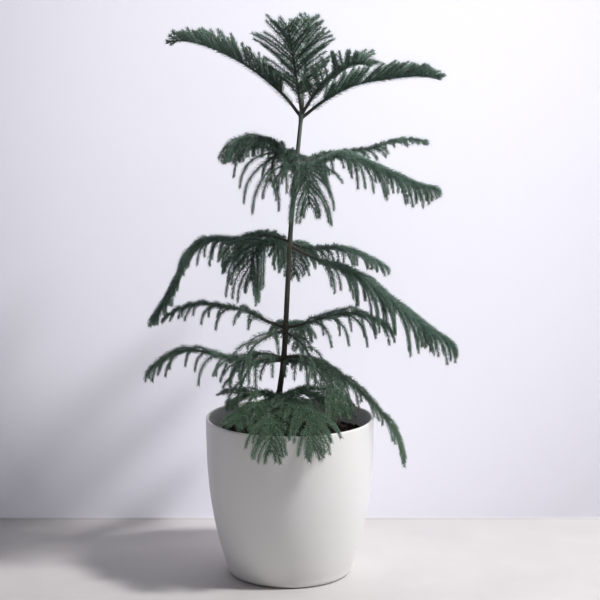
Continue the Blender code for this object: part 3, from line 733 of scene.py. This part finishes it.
def turned(profile, steps):
    """Surface of revolution: point (r, z) of the profile at angle a goes to (r cos a, r sin a, z).

    The first and last profile points lie on the axis and become poles.
    """
    angle = np.linspace(0, 2 * math.pi, steps, endpoint=False)[None]
    r, z = profile[1:-1, 0][:, None], profile[1:-1, 1][:, None]
    rings = np.stack([r * np.cos(angle), r * np.sin(angle), np.broadcast_to(z, (len(z), steps))], axis=-1)
    poles = np.array([(0, 0, profile[0, 1]), (0, 0, profile[-1, 1])])
    points = np.vstack([rings.reshape(-1, 3), poles])
    last = steps * (len(profile) - 3)
    ends = [fan_faces(0, last + steps, steps, True), fan_faces(last, last + steps + 1, steps, False)]
    return points, grid_faces(len(profile) - 2, steps), np.vstack(ends)


class PINE_OT_pot(bpy.types.Operator):
    """Add the moulded pot: an outline of flat foot, side, round lip and inner wall, turned about z"""
    bl_idname = "pine.pot"
    bl_label = "Pot"

    def execute(self, context):
        settings = context.scene.pine_pot
        foot, lip = POT_FOOT_ROUNDING, POT_WALL / 2
        inner_foot = foot + POT_FLOOR
        side = np.linspace(foot, POT_HEIGHT - lip, POT_RINGS["side"])[1:-1]
        inner = np.linspace(POT_HEIGHT - lip, inner_foot, POT_RINGS["inside"])[1:-1]
        inner_centre = (pot_radius(inner_foot) - POT_WALL - foot, inner_foot)
        profile = np.vstack([
            [(0, 0)],
            arc((pot_radius(foot) - foot, foot), foot, -90, 0, POT_RINGS["foot"]),
            np.stack([pot_radius(side), side], axis=1),
            arc((POT_RIM_RADIUS - lip, POT_HEIGHT - lip), lip, 0, 180, POT_RINGS["lip"]),
            np.stack([pot_radius(inner) - POT_WALL, inner], axis=1),
            arc(inner_centre, foot, 0, -90, POT_RINGS["inner foot"]),
            [(0, POT_FLOOR)],
        ])
        shell = Shell()
        shell.add(*turned(profile, settings.steps))
        shell.piece("pot_shell", moulded_polypropylene(settings), "pot", "pot")
        return {"FINISHED"}


def soil_height(x, y):
    """Rise of the soil at (x, y): the part's crossed waves, with finer crossed waves for its crumbs."""
    lumps = np.sin(0.31 * x + 1.3) * np.cos(0.27 * y) + 0.7 * np.sin(0.17 * x - 0.43 * y)
    crumbs = np.sin(1.9 * x + 0.8 * y) * np.sin(1.4 * y - 0.6 * x) + 0.6 * np.sin(3.1 * y + 1.2 * x)
    return SOIL_CRUMB * lumps + SOIL_GRAIN * crumbs


def crumb_lumps(count, random):
    """Loose crumbs: each is a stretched, dented octahedron with its edges split once, half sunk."""
    corners = np.array([(1, 0, 0), (-1, 0, 0), (0, 1, 0), (0, -1, 0), (0, 0, 1), (0, 0, -1)], float)
    eight = np.array([(0, 2, 4), (2, 1, 4), (1, 3, 4), (3, 0, 4),
                      (2, 0, 5), (1, 2, 5), (3, 1, 5), (0, 3, 5)])
    edges = np.vstack([eight[:, [0, 1]], eight[:, [1, 2]], eight[:, [2, 0]]])
    pairs = np.unique(np.sort(edges, axis=1), axis=0)
    table = {tuple(pair): 6 + k for k, pair in enumerate(pairs)}
    points = unit(np.vstack([corners, corners[pairs].sum(axis=1)]))
    middle = np.array([[table[tuple(sorted(face[[k, (k + 1) % 3]]))] for k in range(3)] for face in eight])
    faces = np.vstack([np.c_[eight[:, 0], middle[:, 0], middle[:, 2]],
                       np.c_[eight[:, 1], middle[:, 1], middle[:, 0]],
                       np.c_[eight[:, 2], middle[:, 2], middle[:, 1]], middle])
    within = pot_radius(SOIL_LEVEL) - POT_WALL - CRUMB_FROM_WALL
    radius = within * np.sqrt(random.uniform(0, 1, count))
    angle = random.uniform(0, 2 * math.pi, count)
    x, y = radius * np.cos(angle), radius * np.sin(angle)
    clear = np.hypot(x - trunk_at(SOIL_LEVEL)[0], y) > TRUNK_FOOT_RADIUS + CRUMB_FROM_TRUNK
    shape, scale, least = CRUMB_RADIUS
    size = random.gamma(shape, scale, count) + least
    stretch = random.uniform(*CRUMB_STRETCH, (count, 1, 3)) * size[:, None, None]
    turn = random.uniform(0, 2 * math.pi, count)[:, None]
    dented = points[None] * stretch * random.uniform(*CRUMB_DENTS, (count, len(points), 1))
    cos, sin = np.cos(turn), np.sin(turn)
    lumps = np.stack([dented[..., 0] * cos - dented[..., 1] * sin,
                      dented[..., 0] * sin + dented[..., 1] * cos, dented[..., 2]], axis=-1)
    place = np.stack([x, y, SOIL_LEVEL + soil_height(x, y) + CRUMB_SEAT * size], axis=1)
    lumps = (lumps + place[:, None])[clear]
    numbers = faces[None] + len(points) * np.arange(len(lumps))[:, None, None]
    return lumps.reshape(-1, 3), np.zeros((0, 4), int), numbers.reshape(-1, 3)


class PINE_OT_soil(bpy.types.Operator):
    """Add the potting soil, turned about z with its top raised by soil_height, and its loose crumbs"""
    bl_idname = "pine.soil"
    bl_label = "Potting soil"

    def execute(self, context):
        settings = context.scene.pine_pot
        wall = POT_WALL + 2 * GAP
        inner_foot = POT_FOOT_ROUNDING + POT_FLOOR
        levels = np.linspace(inner_foot + GAP, SOIL_LEVEL, SOIL_RINGS["side"])
        top = np.linspace(pot_radius(SOIL_LEVEL) - wall, 0, SOIL_RINGS["top"])[1:]
        profile = np.vstack([
            [(0, POT_FLOOR + GAP), (pot_radius(inner_foot) - wall - POT_FOOT_ROUNDING, POT_FLOOR + GAP)],
            np.stack([pot_radius(levels) - wall, levels], axis=1),
            np.stack([top, np.full(len(top), SOIL_LEVEL)], axis=1),
        ])
        points, quads, ends = turned(profile, settings.steps)
        raised = points[:, 2] > SOIL_LEVEL - GAP
        points[raised, 2] += soil_height(points[raised, 0], points[raised, 1])
        shell = Shell()
        shell.add(points, quads, ends)
        shell.add(*crumb_lumps(settings.crumbs, np.random.default_rng(SEED + 1)))
        shell.piece("potting_soil", potting_mix(settings), "soil", "soil")
        return {"FINISHED"}


class PINE_OT_trunk(bpy.types.Operator):
    """Add the trunk: a tube that tapers upwards, with a knuckle at each tier and rings of leaf scars"""
    bl_idname = "pine.trunk"
    bl_label = "Trunk"

    def execute(self, context):
        low, high = TRUNK_PATH[0][0], TRUNK_PATH[-1][0]
        path = smooth(np.array([trunk_at(z) for z, _ in TRUNK_PATH]), TRUNK_RINGS)
        z = path[:, 2]
        share = (z - low) / (high - low)
        bulge = sum(np.exp(-((z - tier) / TRUNK_KNUCKLE_LENGTH) ** 2) for tier in TIERS)
        taper = np.minimum(1.0, (high - z + TRUNK_TIP_BLUNT) / TRUNK_TIP_LENGTH)
        scars = LEAF_SCAR * np.abs(np.sin(z * 0.9 + 2 * np.sin(z * 0.31))) ** 3
        radius = (TRUNK_FOOT_RADIUS + (TRUNK_TOP_RADIUS - TRUNK_FOOT_RADIUS) * share) * taper
        radius = radius + TRUNK_KNUCKLE * bulge + scars
        shell = Shell()
        shell.add(*tube(path, radius, TRUNK_SIDES))
        shell.piece("trunk_bark", young_bark(context.scene.pine_plant), "trunk", "trunk")
        return {"FINISHED"}


class PINE_OT_fronds(bpy.types.Operator):
    """Add every frond: rib, branchlets and needles"""
    bl_idname = "pine.fronds"
    bl_label = "Fronds"

    def execute(self, context):
        settings = context.scene.pine_plant
        material = waxy_needle(settings)
        size = (settings.needle_length / MM, settings.needle_width / MM)
        for number, (name, rib, sprays) in enumerate(lay_out()):
            random = np.random.default_rng([SEED, number])
            shell = Shell()
            line = smooth(rib, RIB_RINGS)
            length = np.sum(np.linalg.norm(np.diff(line, axis=0), axis=1))
            shell.add(*tube(line, np.linspace(*RIB_RADII, RIB_RINGS), RIB_SIDES))
            shell.add(*needles(line, RIB_RADII, RIB_NEEDLES_PER_MM, size, random, RIB_BARE * length))
            for twig in sprays:
                fine = smooth(twig, TWIG_RINGS)
                shell.add(*tube(fine, np.linspace(*TWIG_RADII, TWIG_RINGS), TWIG_SIDES))
                shell.add(*needles(fine, TWIG_RADII, TWIG_NEEDLES_PER_MM, size, random))
            shell.piece("needles_" + name, material, "foliage", "frond_" + name)
        return {"FINISHED"}


class PINE_OT_stage(bpy.types.Operator):
    """Add the floor, backdrop, lights and camera"""
    bl_idname = "pine.stage"
    bl_label = "Stage"

    def execute(self, context):
        settings = context.scene.pine_stage
        self.backdrop(settings)
        self.lights(settings)
        camera = bpy.data.cameras.new("camera")
        camera.lens = settings.lens
        camera.sensor_width = 36.0
        camera.clip_end = 20.0
        item = bpy.data.objects.new("camera", camera)
        item.location = (settings.camera_aside, -settings.camera_distance, settings.camera_height)
        item.rotation_euler = (math.radians(90) - settings.camera_pitch, 0, 0)
        context.scene.collection.objects.link(item)
        context.scene.camera = item
        return {"FINISHED"}

    def backdrop(self, settings):
        """Floor that turns up behind the pot: a straight run, a small quarter circle and a wall."""
        front, wall, radius, height, half = -4.0, 0.205, 0.004, 3.0, 4.0
        angle = np.radians(np.linspace(-90, 0, 8))
        y = np.r_[front, wall - radius + radius * np.cos(angle), wall]
        z = np.r_[0.0, radius + radius * np.sin(angle), height]
        x = np.array([-half, half])
        points = np.stack([np.tile(x, len(y)), np.repeat(y, 2), np.repeat(z, 2)], axis=1)
        k = 2 * np.arange(len(y) - 1)
        mesh = bpy.data.meshes.new("floor_and_wall")
        mesh.from_pydata(points.tolist(), [], np.stack([k, k + 1, k + 3, k + 2], axis=1).tolist())
        mesh.materials.append(painted_plaster(settings))
        floor = bpy.data.objects.new("floor_and_wall", mesh)
        bpy.context.scene.collection.objects.link(floor)

    def lights(self, settings):
        """A window light from the right front, and a pale room."""
        light = bpy.data.lights.new("window", "AREA")
        light.size = settings.window_size
        light.energy = settings.window
        item = bpy.data.objects.new("window", light)
        turn, rise = settings.window_turn, settings.window_rise
        toward = np.array([math.sin(turn) * math.cos(rise), -math.cos(turn) * math.cos(rise), math.sin(rise)])
        aim = np.array([0.0, 0.0, 0.25])
        item.location = toward * settings.window_distance + aim
        item.rotation_euler = (math.pi / 2 - rise, 0, turn)
        bpy.context.scene.collection.objects.link(item)
        world = bpy.data.worlds.new("room")
        bpy.context.scene.world = world
        world.use_nodes = True
        back = world.node_tree.nodes["Background"]
        back.inputs["Color"].default_value = linear(settings.room_colour)
        back.inputs["Strength"].default_value = settings.room
        bpy.context.scene.view_settings.view_transform = "Standard"


class PINE_PT_panel(bpy.types.Panel):
    """Shows the settings and the pieces that this script adds"""
    bl_label = "Potted pine"
    bl_idname = "PINE_PT_panel"
    bl_space_type = "VIEW_3D"
    bl_region_type = "UI"
    bl_category = "Pine"

    def draw(self, context):
        for settings in (context.scene.pine_pot, context.scene.pine_plant, context.scene.pine_stage):
            for key in settings.bl_rna.properties.keys():
                if key not in {"rna_type", "name"}:
                    self.layout.prop(settings, key)
        for operator in OPERATORS:
            self.layout.operator(operator.bl_idname)


GROUPS = {"pine_pot": PotSettings, "pine_plant": PlantSettings, "pine_stage": StageSettings}
OPERATORS = (PINE_OT_pot, PINE_OT_soil, PINE_OT_trunk, PINE_OT_fronds, PINE_OT_stage)
CLASSES = (*GROUPS.values(), *OPERATORS, PINE_PT_panel)


def register():
    for item in CLASSES:
        bpy.utils.register_class(item)
    for name, group in GROUPS.items():
        setattr(bpy.types.Scene, name, bpy.props.PointerProperty(type=group))


def unregister():
    for name in GROUPS:
        delattr(bpy.types.Scene, name)
    for item in reversed(CLASSES):
        bpy.utils.unregister_class(item)


def main():
    register()
    bpy.ops.pine.pot()
    bpy.ops.pine.soil()
    bpy.ops.pine.trunk()
    bpy.ops.pine.fronds()
    bpy.ops.pine.stage()


if __name__ == "__main__":
    main()
